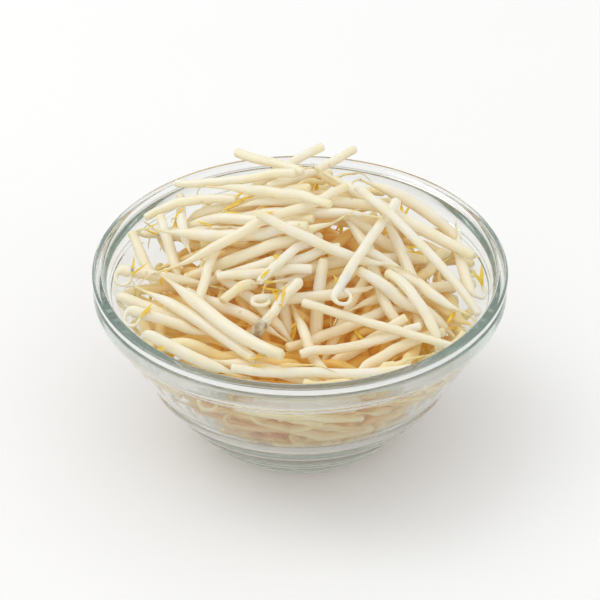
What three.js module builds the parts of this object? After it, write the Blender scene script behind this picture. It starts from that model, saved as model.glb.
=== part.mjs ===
// A clear ribbed glass bowl, heaped with mung bean sprouts.
// Millimetres, +Z up. The origin is the centre of the bowl's foot, on the surface that it stands on.
import * as THREE from "three";

// Driving dimensions of the bowl.
const RIM_DIAMETER = 140;
const BOWL_HEIGHT = 64;
const FOOT_DIAMETER = 57;
const FOOT_RING_WIDTH = 4;
const FOOT_RECESS = 1.2;
const BASE_THICKNESS = 5;
const RIM_THICKNESS = 3.8;
const RIB_COUNT = 5;
const RIB_DEPTH = 0.7;
const RIBBED_SHARE = 0.55;
const BOWL_SIDES = 40;

// Driving dimensions of the heap. Heights in it are measured from the top of the rim.
const HEAP_EDGE = -10;
const MOUND_HEIGHT = 19;
const MOUND = new THREE.Vector2(2, 34);
const HOLLOW_DEPTH = 19;
const HOLLOW = new THREE.Vector2(7, -21);
const TOP_LAYER = 8;

// Driving dimensions of one sprout.
const STEM_RADIUS = 2.1;
const HOOK_RADIUS = 2.9;
const STEM_RINGS = 12;
const HOOK_RINGS = 5;
const SPROUT_SIDES = 6;
const LOOSE_SPROUTS = 14;
const GAP = 0.5;
// How much of an overlap the upper of two sprouts gives way by.
const UPPER_GIVE = 0.25;

const rimRadius = RIM_DIAMETER / 2;
const footRadius = FOOT_DIAMETER / 2;
const innerRim = rimRadius - RIM_THICKNESS;
const degrees = THREE.MathUtils.degToRad;
const smoothstep = THREE.MathUtils.smoothstep;

// A small seeded generator, so that the heap falls the same way each time.
function seededRandom(seed) {
  let state = seed;
  return () => {
    state = (state * 1664525 + 1013904223) % 4294967296;
    return state / 4294967296;
  };
}
const random = seededRandom(20);
const between = (low, high) => low + (high - low) * random();

// ---------------------------------------------------------------------------------------------
// The glass bowl: one turned wall with a ribbed lower body, a rounded band and a beaded lip.
// ---------------------------------------------------------------------------------------------

const bandBottom = BOWL_HEIGHT - 12;
const outerWall = new THREE.CubicBezierCurve(
  new THREE.Vector2(footRadius + 1, 0.6),
  new THREE.Vector2(footRadius + 13.5, 11),
  new THREE.Vector2(rimRadius - 13, 33),
  new THREE.Vector2(rimRadius - 2.7, bandBottom),
);
const innerWall = new THREE.CubicBezierCurve(
  new THREE.Vector2(footRadius - 1.5, FOOT_RECESS + BASE_THICKNESS),
  new THREE.Vector2(footRadius + 10.5, 13),
  new THREE.Vector2(rimRadius - 14, 34),
  new THREE.Vector2(innerRim, BOWL_HEIGHT - 1.5),
);

// The ribs are round swells that stand out of the wall, with sharp grooves between them.
function ribbedWall(stepsPerRib, smoothSteps) {
  const points = [];
  const ribSteps = RIB_COUNT * stepsPerRib;
  for (let i = 0; i < ribSteps; i += 1) {
    const along = (i / ribSteps) * RIBBED_SHARE;
    const tangent = outerWall.getTangentAt(along);
    const swell = RIB_DEPTH * Math.abs(Math.sin((Math.PI * i) / stepsPerRib));
    const point = outerWall.getPointAt(along);
    points.push(new THREE.Vector2(point.x + tangent.y * swell, point.y - tangent.x * swell));
  }
  for (let i = 0; i <= smoothSteps; i += 1) {
    points.push(outerWall.getPointAt(RIBBED_SHARE + ((1 - RIBBED_SHARE) * i) / smoothSteps));
  }
  return points;
}

// The rim, from the step under the band, over the band and the lip, to the top of the inside wall.
// Each pair is how far the point lies inside the rim's radius and how far below its top.
function bandAndLip() {
  const outline = [
    [2.4, 10.6], [0.8, 9.5], [0.3, 7], [0.5, 4.1], [1.2, 3.3],
    [0.4, 2.6], [0, 1.7], [0.7, 0.5], [1.9, 0], [3.2, 0.4],
  ];
  return outline.map(([inset, drop]) => new THREE.Vector2(rimRadius - inset, BOWL_HEIGHT - drop));
}

function bowlGeometry() {
  const footInside = footRadius - FOOT_RING_WIDTH;
  const foot = [
    new THREE.Vector2(0, FOOT_RECESS),
    new THREE.Vector2(footInside - 1, FOOT_RECESS),
    new THREE.Vector2(footInside, 0),
    new THREE.Vector2(footRadius, 0),
  ];
  const inside = innerWall.getSpacedPoints(11).reverse();
  const well = new THREE.Vector2(0, FOOT_RECESS + BASE_THICKNESS - 0.6);
  const profile = [...foot, ...ribbedWall(3, 4), ...bandAndLip(), ...inside, well];
  return new THREE.LatheGeometry(profile, BOWL_SIDES);
}

// The inside radius of the bowl at a height, read off the same wall.
const wallSamples = innerWall.getSpacedPoints(200);
function insideRadius(height) {
  const above = wallSamples.find((point) => point.y >= height);
  return above ? above.x : innerRim;
}

// The height of the glass under a point: the inside wall, and the rim past it.
function glassHeight(distance) {
  if (distance >= innerRim) return BOWL_HEIGHT;
  const outside = wallSamples.find((point) => point.x >= distance);
  return outside.y;
}

// ---------------------------------------------------------------------------------------------
// The bed: the tangle of sprouts that fills the bowl under the ones on top, as one solid.
// ---------------------------------------------------------------------------------------------

const middleOfBowl = new THREE.Vector2(0, 0);
const bell = (x, y, centre, width) => Math.exp(-((x - centre.x) ** 2 + (y - centre.y) ** 2) / (2 * width ** 2));

// The top of the heap: a mound behind the middle, a hollow in front of it, and low edges.
function heapHeight(x, y) {
  const mound = MOUND_HEIGHT * bell(x, y, MOUND, 21) + 10 * bell(x, y, middleOfBowl, 36);
  const hollow = HOLLOW_DEPTH * bell(x, y, HOLLOW, 11);
  const edge = 6 * smoothstep(Math.hypot(x, y), 50, 64);
  return BOWL_HEIGHT + HEAP_EDGE + mound - hollow - edge;
}
const bedHeight = (x, y) => heapHeight(x, y) - TOP_LAYER;

// How much further it is straight up off a slope than square to it.
function slopeStretch(x, y) {
  const rise = bedHeight(x + 0.5, y) - bedHeight(x - 0.5, y);
  const climb = bedHeight(x, y + 0.5) - bedHeight(x, y - 0.5);
  return Math.hypot(1, rise, climb);
}

// The bed meets the wall where its top falls to the wall's height.
function bedRadius(cosine, sine) {
  let distance = innerRim;
  while (bedHeight(cosine * distance, sine * distance) < glassHeight(distance)) distance -= 0.1;
  return distance - 1;
}

function bedGeometry() {
  const wallSteps = 5;
  const topSteps = 9;
  const floor = FOOT_RECESS + BASE_THICKNESS + 0.6;
  // A plain can with the right number of rings, whose points are then put in their places.
  const can = [new THREE.Vector2(0, 0)];
  for (let i = 0; i <= wallSteps; i += 1) can.push(new THREE.Vector2(1, i));
  for (let i = topSteps - 1; i >= 0; i -= 1) can.push(new THREE.Vector2(i / topSteps, wallSteps + 1));
  const geometry = new THREE.LatheGeometry(can, BOWL_SIDES);
  const position = geometry.attributes.position;
  for (let i = 0; i < position.count; i += 1) {
    const share = Math.hypot(position.getX(i), position.getZ(i));
    const level = position.getY(i);
    const angle = Math.atan2(position.getX(i), position.getZ(i));
    const [cosine, sine] = [Math.cos(angle), Math.sin(angle)];
    const edge = bedRadius(cosine, sine);
    const edgeHeight = bedHeight(cosine * edge, sine * edge);
    if (level > wallSteps) {
      const [x, y] = [cosine * edge * share, sine * edge * share];
      position.setXYZ(i, x, y, bedHeight(x, y));
    } else if (share < 0.5) {
      position.setXYZ(i, 0, 0, floor);
    } else {
      const height = THREE.MathUtils.lerp(floor, edgeHeight, level / wallSteps);
      const radius = level === wallSteps ? edge : Math.min(insideRadius(height) - 1, edge);
      position.setXYZ(i, cosine * radius, sine * radius, height);
    }
  }
  geometry.computeVertexNormals();
  return geometry;
}

// ---------------------------------------------------------------------------------------------
// One sprout: a root tail, a thick stem, a thin neck and, on many, a curled hook at the head.
// It is a chain of rings, each with a middle and a radius.
// ---------------------------------------------------------------------------------------------

// The stem's radius from the tail (0) to the head (1).
function stemRadius(sprout, along) {
  const root = sprout.cut ? 0.85 : 0.2 + 0.8 * smoothstep(along, 0.04, 0.34);
  const neck = sprout.hook === 0 ? 0.15 * smoothstep(along, 0.7, 1) : 0.56 * smoothstep(along, 0.66, 0.9);
  return sprout.radius * root * (1 - neck);
}

// The chain lies flat from its tail along +X. It turns by bend over its stem, sways to one side and
// back, and then curls by hook about an axis that roll tips over sideways.
function flatChain(sprout) {
  const hookAngle = degrees(sprout.hook);
  const stemLength = sprout.length - hookAngle * HOOK_RADIUS;
  const up = new THREE.Vector3(0, 0, 1);
  const curlAxis = new THREE.Vector3(0, Math.sin(degrees(sprout.roll)), Math.cos(degrees(sprout.roll)));
  const direction = new THREE.Vector3(1, 0, 0);
  const middles = [new THREE.Vector3()];
  const radii = [stemRadius(sprout, 0)];
  for (let ring = 1; ring < STEM_RINGS; ring += 1) {
    const share = (ring - 0.5) / (STEM_RINGS - 1);
    const turn = degrees(sprout.bend + sprout.sway * Math.PI * Math.cos(Math.PI * share)) / (STEM_RINGS - 1);
    direction.applyAxisAngle(up, turn);
    middles.push(middles[ring - 1].clone().addScaledVector(direction, stemLength / (STEM_RINGS - 1)));
    radii.push(stemRadius(sprout, (stemLength * ring) / (STEM_RINGS - 1) / sprout.length));
  }
  const head = middles[STEM_RINGS - 1].clone();
  for (let ring = 1; sprout.hook > 0 && ring <= HOOK_RINGS; ring += 1) {
    direction.applyAxisAngle(curlAxis, hookAngle / HOOK_RINGS);
    const chord = 2 * HOOK_RADIUS * Math.sin(hookAngle / HOOK_RINGS / 2);
    middles.push(middles[middles.length - 1].clone().addScaledVector(direction, chord));
    radii.push(stemRadius(sprout, 1));
  }
  // The stem's two ends are put on the X axis, either side of the origin.
  const slant = Math.atan2(head.y, head.x);
  const half = new THREE.Vector3(Math.hypot(head.x, head.y) / 2, 0, 0);
  middles.forEach((middle) => middle.applyAxisAngle(up, -slant).sub(half));
  return { middles, radii, half: half.x };
}

// Puts a chain in its place in the bowl, with its tail and its head at their heights.
function placeChain(sprout) {
  const { middles, radii, half } = flatChain(sprout);
  const up = new THREE.Vector3(0, 0, 1);
  for (const middle of middles) {
    const share = (middle.x + half) / (2 * half);
    const height = BOWL_HEIGHT + THREE.MathUtils.lerp(sprout.tail, sprout.head, share);
    middle.applyAxisAngle(up, degrees(sprout.heading)).add(new THREE.Vector3(sprout.x, sprout.y, height));
  }
  // Links hold each ring at its distance from its neighbours near and far, so the stem bends only a little.
  const links = [];
  for (const reach of [1, 2, 3, 5, 8, 11]) {
    for (let i = 0; i + reach < middles.length; i += 1) {
      links.push({ from: i, to: i + reach, rest: middles[i].distanceTo(middles[i + reach]) });
    }
  }
  return { middles, radii, links };
}

// A turned stem: one ring of the lathe for each ring of the chain, and a point at each end.
function sproutGeometry({ middles, radii }, origin) {
  const count = middles.length;
  const profile = [new THREE.Vector2(0, 0)];
  radii.forEach((radius, i) => profile.push(new THREE.Vector2(radius * (i % (count - 1) ? 1 : 0.65), i + 1)));
  profile.push(new THREE.Vector2(0, count + 1));
  const geometry = new THREE.LatheGeometry(profile, SPROUT_SIDES);
  const tangents = middles.map((_, i) => (
    middles[Math.min(i + 1, count - 1)].clone().sub(middles[Math.max(i - 1, 0)]).normalize()
  ));
  const sides = [new THREE.Vector3(0, 0, 1).cross(tangents[0]).normalize()];
  for (let i = 1; i < count; i += 1) {
    const turn = new THREE.Quaternion().setFromUnitVectors(tangents[i - 1], tangents[i]);
    sides.push(sides[i - 1].clone().applyQuaternion(turn));
  }
  const position = geometry.attributes.position;
  for (let i = 0; i < position.count; i += 1) {
    const level = Math.round(position.getY(i)) - 1;
    const ring = THREE.MathUtils.clamp(level, 0, count - 1);
    const point = middles[ring].clone().sub(origin);
    point.addScaledVector(tangents[ring], (level - ring) * 0.4 * radii[ring]);
    point.addScaledVector(sides[ring], position.getZ(i));
    point.addScaledVector(new THREE.Vector3().crossVectors(tangents[ring], sides[ring]), position.getX(i));
    position.setXYZ(i, point.x, point.y, point.z);
  }
  geometry.computeVertexNormals();
  return geometry;
}

// ---------------------------------------------------------------------------------------------
// The heap: the sprouts sink, push each other aside and bend a little, until none of them touch.
// ---------------------------------------------------------------------------------------------

// The nearest points of two straight stretches, as shares of each.
function nearestShares(start, along, otherStart, otherAlong) {
  const between = start.clone().sub(otherStart);
  const [a, e, f] = [along.dot(along), otherAlong.dot(otherAlong), otherAlong.dot(between)];
  const [b, c] = [along.dot(otherAlong), along.dot(between)];
  const spread = a * e - b * b;
  const clamp = (value) => THREE.MathUtils.clamp(value, 0, 1);
  let share = spread > 1e-9 ? clamp((b * f - c * e) / spread) : 0.5;
  const other = clamp((b * share + f) / e);
  share = clamp((b * other - c) / a);
  return [share, other];
}

// Two chains that overlap move out of each other. The upper one, which is listed later, gives way less.
function pushApart(upper, lower) {
  for (let i = 0; i + 1 < upper.middles.length; i += 1) {
    const start = upper.middles[i];
    const end = upper.middles[i + 1];
    for (let j = 0; j + 1 < lower.middles.length; j += 1) {
      const otherStart = lower.middles[j];
      const otherEnd = lower.middles[j + 1];
      if (start.distanceToSquared(otherStart) > 240) continue;
      const along = end.clone().sub(start);
      const otherAlong = otherEnd.clone().sub(otherStart);
      const [share, other] = nearestShares(start, along, otherStart, otherAlong);
      const apart = start.clone().addScaledVector(along, share);
      apart.sub(otherStart).addScaledVector(otherAlong, -other);
      const distance = Math.max(apart.length(), 0.01);
      const reach = Math.max(upper.radii[i], upper.radii[i + 1]);
      const needed = reach + Math.max(lower.radii[j], lower.radii[j + 1]) + GAP;
      if (distance >= needed) continue;
      apart.multiplyScalar((needed - distance) / distance);
      start.addScaledVector(apart, UPPER_GIVE * (1 - share));
      end.addScaledVector(apart, UPPER_GIVE * share);
      otherStart.addScaledVector(apart, (UPPER_GIVE - 1) * (1 - other));
      otherEnd.addScaledVector(apart, (UPPER_GIVE - 1) * other);
    }
  }
}

function holdShape({ middles, links }) {
  for (const { from, to, rest } of links) {
    const apart = middles[to].clone().sub(middles[from]);
    const distance = apart.length();
    apart.multiplyScalar((0.5 * (distance - rest)) / distance);
    middles[from].add(apart);
    middles[to].sub(apart);
  }
}

// Keeps a ring clear of the glass and above the bed.
function keepInBowl({ middles, radii }) {
  middles.forEach((middle, i) => {
    const distance = Math.hypot(middle.x, middle.y);
    const room = insideRadius(middle.z) - 1.25 * (radii[i] + GAP);
    if (distance > room) {
      middle.x *= room / distance;
      middle.y *= room / distance;
    }
    const clear = (radii[i] + 2 * GAP) * slopeStretch(middle.x, middle.y);
    middle.z = Math.max(middle.z, bedHeight(middle.x, middle.y) + clear);
  });
}

function settle(chains) {
  const rounds = 260;
  for (let round = 0; round < rounds; round += 1) {
    const sink = 0.03 * Math.max(0, 1 - round / (0.6 * rounds));
    const boxes = chains.map(({ middles }) => new THREE.Box3().setFromPoints(middles).expandByScalar(3));
    chains.forEach((chain, i) => {
      chain.middles.forEach((middle) => middle.setZ(middle.z - sink));
      for (let j = 0; j < i; j += 1) {
        if (boxes[i].intersectsBox(boxes[j])) pushApart(chain, chains[j]);
      }
    });
    chains.forEach(holdShape);
    chains.forEach(keepInBowl);
  }
}

// Sprouts that lie anywhere in the bowl, part of the way down, along the slope of the heap.
function looseSprout() {
  const length = between(48, 60);
  const heading = between(-75, 35) + (random() < 0.5 ? 180 : 0);
  const angle = between(0, 2 * Math.PI);
  const out = between(14, 38);
  const [x, y] = [Math.cos(angle) * out, Math.sin(angle) * out];
  const reach = 0.5 * length;
  const [alongX, alongY] = [Math.cos(degrees(heading)) * reach, Math.sin(degrees(heading)) * reach];
  const depth = BOWL_HEIGHT + between(4, 9);
  return {
    x, y, heading, length,
    tail: heapHeight(x - alongX, y - alongY) - depth,
    head: heapHeight(x + alongX, y + alongY) - depth,
    bend: between(-35, 35),
    sway: between(-14, 14),
  };
}

// Sprouts that show, by the plan place of the middle, the heading from the tail to the head, the length,
// the heights of the tail and the head, the bend of the stem, and the hook at the head and its roll.
const shown = [
  // Against the wall on the left.
  { x: -52, y: 14, heading: 112, length: 24, tail: -14, head: -1, bend: -10 },
  { x: -44, y: 18, heading: 102, length: 26, tail: -10, head: 1, bend: 15 },
  { x: -37, y: 28, heading: 100, length: 38, tail: -2, head: 5, bend: -20 },
  // Steep in the hollow, on its back and its sides.
  { x: -13, y: -13, heading: 135, length: 34, tail: -22, head: -2, bend: 12 },
  { x: -5, y: -13, heading: 120, length: 32, tail: -24, head: -3, bend: -10 },
  { x: 4, y: -12, heading: 105, length: 32, tail: -22, head: -1, bend: 14 },
  { x: 14, y: -15, heading: 60, length: 34, tail: -23, head: -3, bend: -12 },
  { x: -20, y: -18, heading: 150, length: 36, tail: -20, head: -5, bend: 10 },
  { x: 20, y: -24, heading: 25, length: 34, tail: -20, head: -8, bend: 15 },
  // Still in its seed coat, at the hollow's left.
  { x: -7, y: -16, heading: 42, length: 27, tail: -8, head: 2, bend: 0, hook: 200, roll: 40, cut: true },
  // Along the front wall.
  { x: 3, y: -51, heading: 178, length: 50, tail: -12, head: -10, bend: -50, cut: true },
  { x: 8, y: -47, heading: 180, length: 60, tail: -6, head: -6, bend: -24, cut: true },
  { x: -34, y: -40, heading: 155, length: 48, tail: -9, head: -3, bend: -16, hook: 230, roll: 30 },
  { x: 22, y: -33, heading: 12, length: 40, tail: -13, head: -6, bend: -18, cut: true },
  { x: 34, y: -36, heading: 28, length: 42, tail: -12, head: -8, bend: -16 },
  { x: -10, y: -43, heading: -16, length: 44, tail: -9, head: -13, bend: 12 },
  // Over the right wall.
  { x: 44, y: -18, heading: 158, length: 42, tail: -7, head: -1, bend: 22 },
  { x: 38, y: -8, heading: 146, length: 44, tail: -4, head: 2, bend: -14 },
  { x: 35, y: -21, heading: 108, length: 38, tail: -9, head: 0, bend: 60, sway: 10 },
  { x: 34, y: -29, heading: -29, length: 52, tail: -3, head: -6, bend: 8, cut: true },
  { x: 56, y: 8, heading: -80, length: 42, tail: 3, head: -3, bend: 15, hook: 200, roll: 10 },
  { x: 41, y: 37, heading: -4, length: 38, tail: 8, head: -3, bend: -40 },
  // Over the left wall.
  { x: -42, y: -23, heading: 165, length: 44, tail: -5, head: -3, bend: 14, hook: 250, roll: 30 },
  { x: -45, y: -14, heading: 162, length: 50, tail: -7, head: -4, bend: -14, hook: 260, roll: 25 },
  { x: -44, y: 0, heading: 170, length: 46, tail: -4, head: -1, bend: 12, hook: 250, roll: 35 },
  { x: -43, y: 28, heading: 152, length: 42, tail: 2, head: -2, bend: 20, hook: 180, roll: -30 },
  { x: -42, y: 36, heading: 155, length: 32, tail: 6, head: 1, bend: 34, cut: true },
  { x: -31, y: -5, heading: -106, length: 26, tail: 4, head: -3, bend: 10, cut: true },
  // Across the middle, over the back of the hollow.
  { x: -12, y: -3, heading: 178, length: 30, tail: 2, head: -1, bend: 0, cut: true },
  { x: 8, y: -12, heading: -175, length: 58, tail: -4, head: 1, bend: 8, hook: 260, roll: 15 },
  { x: -36, y: -24, heading: -44, length: 56, tail: -3, head: -4, bend: -10 },
  { x: -27, y: -26, heading: -48, length: 61, tail: 2, head: 1, bend: 14, sway: -12 },
  // On the mound behind.
  { x: -22, y: 38, heading: 162, length: 43, tail: 16, head: 7, bend: -12, cut: true },
  { x: -11, y: 24, heading: -34, length: 52, tail: 10, head: 15, bend: -14 },
  { x: -10, y: 45, heading: -41, length: 30, tail: 13, head: 16, bend: 14, cut: true },
  { x: 4, y: 41, heading: -140, length: 36, tail: 16, head: 13, bend: -12, cut: true },
  { x: -5, y: 43, heading: -144, length: 30, tail: 17, head: 12, bend: 16, cut: true },
  { x: -4, y: -1, heading: -122, length: 30, tail: 9, head: 1, bend: 8, cut: true },
  { x: -23, y: 13, heading: -16, length: 54, tail: 4, head: 10, bend: 26 },
  { x: -17, y: 13, heading: 22, length: 70, tail: 0, head: 17, bend: 30 },
  { x: 11, y: 3, heading: 166, length: 50, tail: 5, head: 17, bend: -18 },
  { x: 31, y: 21, heading: -30, length: 61, tail: 19, head: 3, bend: -8 },
  { x: 22, y: 0, heading: -116, length: 62, tail: 14, head: 5, bend: 4, hook: 260, roll: 10, cut: true },
  { x: 44, y: 3, heading: -35, length: 58, tail: 17, head: -1, bend: 8, cut: true },
];
const usual = { bend: 0, sway: 0, hook: 0, roll: 0, cut: false };

const bowlOfBeanSprouts = new THREE.Group();

const glass = new THREE.MeshStandardMaterial({
  color: 0xdfe6e2, roughness: 0.05, metalness: 0, transparent: true, opacity: 0.35,
});
const bowl = new THREE.Mesh(bowlGeometry(), glass);
bowl.name = "glass_bowl";
bowl.rotation.x = Math.PI / 2;
bowlOfBeanSprouts.add(bowl);

const bed = new THREE.Mesh(
  bedGeometry(),
  new THREE.MeshStandardMaterial({ color: 0xd8b87a, roughness: 0.55, metalness: 0 }),
);
bed.name = "sprout_bed";
bowlOfBeanSprouts.add(bed);

const sprouts = [...Array.from({ length: LOOSE_SPROUTS }, looseSprout), ...shown];
const chains = sprouts.map((sprout) => (
  placeChain({ ...usual, radius: STEM_RADIUS * between(0.9, 1.06), ...sprout })
));
settle(chains);
chains.forEach((chain, i) => {
  const origin = chain.middles[Math.floor(STEM_RINGS / 2)];
  const tone = between(0.93, 1);
  const mesh = new THREE.Mesh(
    sproutGeometry(chain, origin),
    new THREE.MeshStandardMaterial({
      color: new THREE.Color(0.93 * tone, 0.89 * tone, 0.77 * tone), roughness: 0.38, metalness: 0,
    }),
  );
  mesh.name = `sprout_${String(i + 1).padStart(2, "0")}`;
  mesh.position.copy(origin);
  bowlOfBeanSprouts.add(mesh);
});

export default bowlOfBeanSprouts;
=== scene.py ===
# A clear ribbed glass bowl, heaped with fresh mung bean sprouts.
# Metres, +Z up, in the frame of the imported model: the origin is the centre of the bowl's foot.
import math

import bmesh
import bpy
import numpy as np
from mathutils import Matrix, Vector, kdtree
from mathutils.bvhtree import BVHTree


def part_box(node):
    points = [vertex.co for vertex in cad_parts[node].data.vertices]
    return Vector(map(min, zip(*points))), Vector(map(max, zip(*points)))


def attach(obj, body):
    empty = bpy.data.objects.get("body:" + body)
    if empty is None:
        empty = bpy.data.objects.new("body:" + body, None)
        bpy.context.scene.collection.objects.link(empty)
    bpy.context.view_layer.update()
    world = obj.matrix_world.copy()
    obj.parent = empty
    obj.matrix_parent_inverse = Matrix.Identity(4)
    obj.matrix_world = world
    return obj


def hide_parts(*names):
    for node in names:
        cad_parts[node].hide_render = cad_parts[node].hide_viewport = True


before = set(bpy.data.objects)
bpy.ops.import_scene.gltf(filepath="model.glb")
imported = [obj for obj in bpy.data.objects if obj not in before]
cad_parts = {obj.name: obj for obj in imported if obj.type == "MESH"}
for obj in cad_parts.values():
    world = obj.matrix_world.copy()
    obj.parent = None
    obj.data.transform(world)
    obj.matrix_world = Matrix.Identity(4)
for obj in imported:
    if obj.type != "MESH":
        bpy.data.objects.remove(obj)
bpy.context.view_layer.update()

# ------------------------------------------------------------------------------------------------
# Where the bowl stands: a pale table top, a soft light from above and the left, and a long lens that
# looks down at about 35 degrees.
# ------------------------------------------------------------------------------------------------
bowl_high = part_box("glass_bowl")[1]
rim_radius = bowl_high.x
rim_height = bowl_high.z
mm = 0.001

scene = bpy.context.scene
scene.view_settings.view_transform = "Standard"
# Light runs round inside the rim and from sprout to sprout, so it is followed a long way.
scene.cycles.max_bounces = 40
scene.cycles.glossy_bounces = 40
scene.cycles.transmission_bounces = 40
scene.cycles.diffuse_bounces = 12

camera_tilt = math.radians(34.75)
camera_reach = 20 * rim_radius
camera_aim = Vector((0, 0, rim_height - 13.4 * mm))
camera_data = bpy.data.cameras.new("camera")
camera_data.lens = 248.2
camera_data.sensor_width = 36
camera_data.clip_end = 20
camera = bpy.data.objects.new("camera", camera_data)
camera.location = camera_aim + camera_reach * Vector((0, -math.cos(camera_tilt), math.sin(camera_tilt)))
camera.rotation_euler = (math.pi / 2 - camera_tilt, 0, 0)
scene.collection.objects.link(camera)
scene.camera = camera


def soft_box(name, place, aim, width, height, watts, tint):
    """A large soft lamp that faces a point."""
    lamp = bpy.data.lights.new(name, "AREA")
    lamp.shape = "RECTANGLE"
    lamp.size = width
    lamp.size_y = height
    lamp.energy = watts
    lamp.color = tint
    holder = bpy.data.objects.new(name, lamp)
    holder.location = place
    holder.rotation_euler = (Vector(aim) - Vector(place)).to_track_quat("-Z", "Y").to_euler()
    scene.collection.objects.link(holder)


soft_box("key_light", (-0.75, 0.25, 1.15), (0, 0, 0.05), 0.7, 0.7, 3.6, (1, 0.985, 0.96))
soft_box("fill_light", (0.9, -0.9, 0.9), (0, 0, 0.05), 0.9, 0.6, 1.3, (0.98, 0.99, 1))

# The room: bright overhead, and greyer towards the horizon, which draws the edges of the glass.
world = bpy.data.worlds.new("room")
world.use_nodes = True
scene.world = world
room = world.node_tree
room_view = room.nodes.new("ShaderNodeTexCoord")
room_split = room.nodes.new("ShaderNodeSeparateXYZ")
room_ramp = room.nodes.new("ShaderNodeValToRGB")
room_ramp.color_ramp.elements[0].position = 0.0
room_ramp.color_ramp.elements[0].color = (0.80, 0.815, 0.805, 1)
room_ramp.color_ramp.elements[1].position = 0.5
room_ramp.color_ramp.elements[1].color = (1.0, 1.0, 1.0, 1)
room.links.new(room_view.outputs["Generated"], room_split.inputs["Vector"])
room.links.new(room_split.outputs["Z"], room_ramp.inputs["Fac"])
room.links.new(room_ramp.outputs["Color"], room.nodes["Background"].inputs["Color"])
room.nodes["Background"].inputs["Strength"].default_value = 0.80



def new_material(name):
    """A material, its tree of nodes and its main shader."""
    material = bpy.data.materials.new(name)
    material.use_nodes = True
    return material, material.node_tree, material.node_tree.nodes["Principled BSDF"]


def set_inputs(node, **values):
    """Sets a node's inputs by name, with _ for each space."""
    for name, value in values.items():
        node.inputs[name.replace("_", " ")].default_value = value


def add_node(tree, kind, **values):
    node = tree.nodes.new(kind)
    set_inputs(node, **values)
    return node


table_material, table_nodes, table_shader = new_material("table_top")
set_inputs(table_shader, Roughness=0.75, Specular_IOR_Level=0.2, Emission_Color=(1, 1, 1, 1),
           Emission_Strength=0.09)
table_place = table_nodes.nodes.new("ShaderNodeTexCoord")
table_mottle = add_node(table_nodes, "ShaderNodeTexNoise", Scale=9)
table_tone = table_nodes.nodes.new("ShaderNodeMix")
table_tone.data_type = "RGBA"
set_inputs(table_tone, A=(0.93, 0.93, 0.93, 1), B=(0.95, 0.95, 0.95, 1))
table_nodes.links.new(table_place.outputs["Object"], table_mottle.inputs["Vector"])
table_nodes.links.new(table_mottle.outputs["Fac"], table_tone.inputs["Factor"])
table_nodes.links.new(table_tone.outputs["Result"], table_shader.inputs["Base Color"])

table_mesh = bpy.data.meshes.new("table_top")
table_size = 3.0
table_corners = [(-table_size, -table_size, 0), (table_size, -table_size, 0),
                 (table_size, table_size, 0), (-table_size, table_size, 0)]
table_mesh.from_pydata(table_corners, [], [(0, 1, 2, 3)])
table_mesh.materials.append(table_material)
table = bpy.data.objects.new("table_top", table_mesh)
scene.collection.objects.link(table)

# ------------------------------------------------------------------------------------------------
# The glass bowl: pressed soda glass, fire-polished. One wall, turned about the axis: a flat foot ring,
# a rounded body with raised rings, a smooth wall, a rounded band and a beaded lip.
# ------------------------------------------------------------------------------------------------
foot_radius = 28.5 * mm
foot_ring_width = 4 * mm
foot_recess = 1.2 * mm
base_thickness = 5 * mm
rim_thickness = 3.8 * mm
inner_rim = rim_radius - rim_thickness
rib_count = 5
rib_depth = 1.2 * mm
ribbed_share = 0.55


def bezier(controls, steps):
    """Points along a cubic curve in the turning plane, as (radius, height), an even distance apart."""
    share = np.linspace(0, 1, 400)[:, None]
    a, b, c, d = (np.array(point) for point in controls)
    rest = 1 - share
    curve = rest ** 3 * a + 3 * rest ** 2 * share * b + 3 * rest * share ** 2 * c + share ** 3 * d
    travelled = np.concatenate([[0], np.cumsum(np.linalg.norm(np.diff(curve, axis=0), axis=1))])
    even = np.linspace(0, travelled[-1], steps + 1)
    return np.stack([np.interp(even, travelled, curve[:, k]) for k in range(2)], axis=1)


outer_wall = bezier([(foot_radius + 1 * mm, 0.6 * mm), (foot_radius + 13.5 * mm, 11 * mm),
                     (rim_radius - 13 * mm, 33 * mm), (rim_radius - 2.7 * mm, rim_height - 12 * mm)], 160)
inner_wall = bezier([(foot_radius - 1.5 * mm, foot_recess + base_thickness), (foot_radius + 10.5 * mm, 13 * mm),
                     (rim_radius - 14 * mm, 34 * mm), (inner_rim, rim_height - 1.5 * mm)], 60)


def ribbed(wall):
    """The outer wall with its rings: round swells with sharp grooves between them, on the lower part of the
    wall only.
    """
    tangent = np.gradient(wall, axis=0)
    tangent /= np.linalg.norm(tangent, axis=1)[:, None]
    outward = np.stack([tangent[:, 1], -tangent[:, 0]], axis=1)
    share = np.linspace(0, 1, len(wall)) / ribbed_share
    swell = np.abs(np.sin(np.pi * rib_count * np.minimum(share, 1)))
    return wall + outward * (rib_depth * swell)[:, None]


def rounded(corners, steps):
    """A smooth line through corners, each cut twice, for a fire-polished edge."""
    line = np.array(corners)
    for _ in range(steps):
        quarter = 0.75 * line[:-1] + 0.25 * line[1:]
        three_quarters = 0.25 * line[:-1] + 0.75 * line[1:]
        line = np.concatenate([line[:1], np.stack([quarter, three_quarters], axis=1).reshape(-1, 2), line[-1:]])
    return line


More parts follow.
